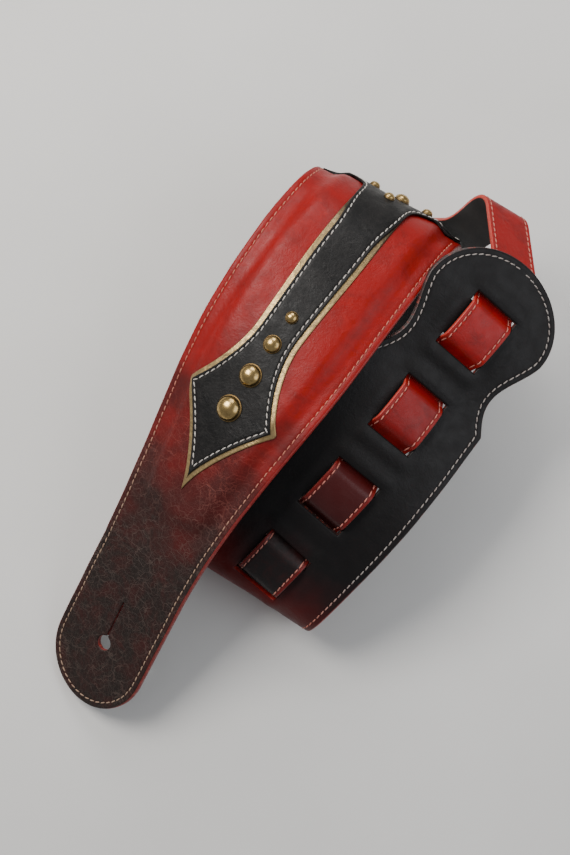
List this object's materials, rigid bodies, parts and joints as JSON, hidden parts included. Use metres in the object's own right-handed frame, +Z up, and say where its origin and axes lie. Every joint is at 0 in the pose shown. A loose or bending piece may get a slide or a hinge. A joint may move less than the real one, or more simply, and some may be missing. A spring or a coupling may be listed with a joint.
{
  "type": "guitar strap",
  "caption": "Wide padded leather guitar strap, coiled, with a studded spade applique, keyhole ends and a tail woven through slots.",
  "frame": {"origin": "centre of the coiled strap's footprint, on the surface it rests on", "axes": "+X from the front tab's tip towards the shoulder fold, +Y towards the strap's left edge, +Z up"},
  "size_m": [0.3836, 0.1884, 0.122],
  "materials": {
    "red_leather": "satin",
    "lining_leather": "matte",
    "black_leather": "satin",
    "metallic_leather": "metallic",
    "foam": "matte",
    "thread": "matte",
    "antique_brass": "polished"
  },
  "bodies": {
    "strap": {"applique_black_leather": "black_leather", "applique_metallic_underlay": "metallic_leather", "applique_stitching_left": "thread", "applique_stitching_right": "thread", "patch_stitching_left": "thread", "patch_stitching_right": "thread", "shoulder_foam_padding": "foam", "shoulder_stud_1": "antique_brass", "shoulder_stud_2": "antique_brass", "shoulder_stud_3": "antique_brass", "shoulder_stud_4": "antique_brass", "shoulder_stud_5": "antique_brass", "spade_stud_1": "antique_brass", "spade_stud_2": "antique_brass", "spade_stud_3": "antique_brass", "spade_stud_4": "antique_brass", "strap_face_leather": "red_leather", "strap_lining_leather": "lining_leather", "strap_stitching_back": "thread", "strap_stitching_front_left": "thread", "strap_stitching_front_right": "thread", "tail_face_leather": "red_leather", "tail_lining_leather": "lining_leather"},
    "front_tab": {"front_tab_face_leather": "red_leather", "front_tab_lining_leather": "lining_leather", "front_tab_stitching": "thread"},
    "tail_tab": {"tail_tab_face_leather": "red_leather", "tail_tab_lining_leather": "lining_leather"}
  },
  "joints": [
    {"name": "front_tab_flex", "type": "hinge", "parent": "strap", "child": "front_tab", "pos_m": [-0.09797, 0.05352, 0.05436], "axis": [-0.1646, -0.9338, 0.3178], "range_deg": [-25, 35]},
    {"name": "tail_tab_flex", "type": "hinge", "parent": "strap", "child": "tail_tab", "pos_m": [0.16969, -0.00538, 0.04408], "axis": [-0.0837, -0.8768, -0.4736], "range_deg": [-15, 40]}
  ]
}
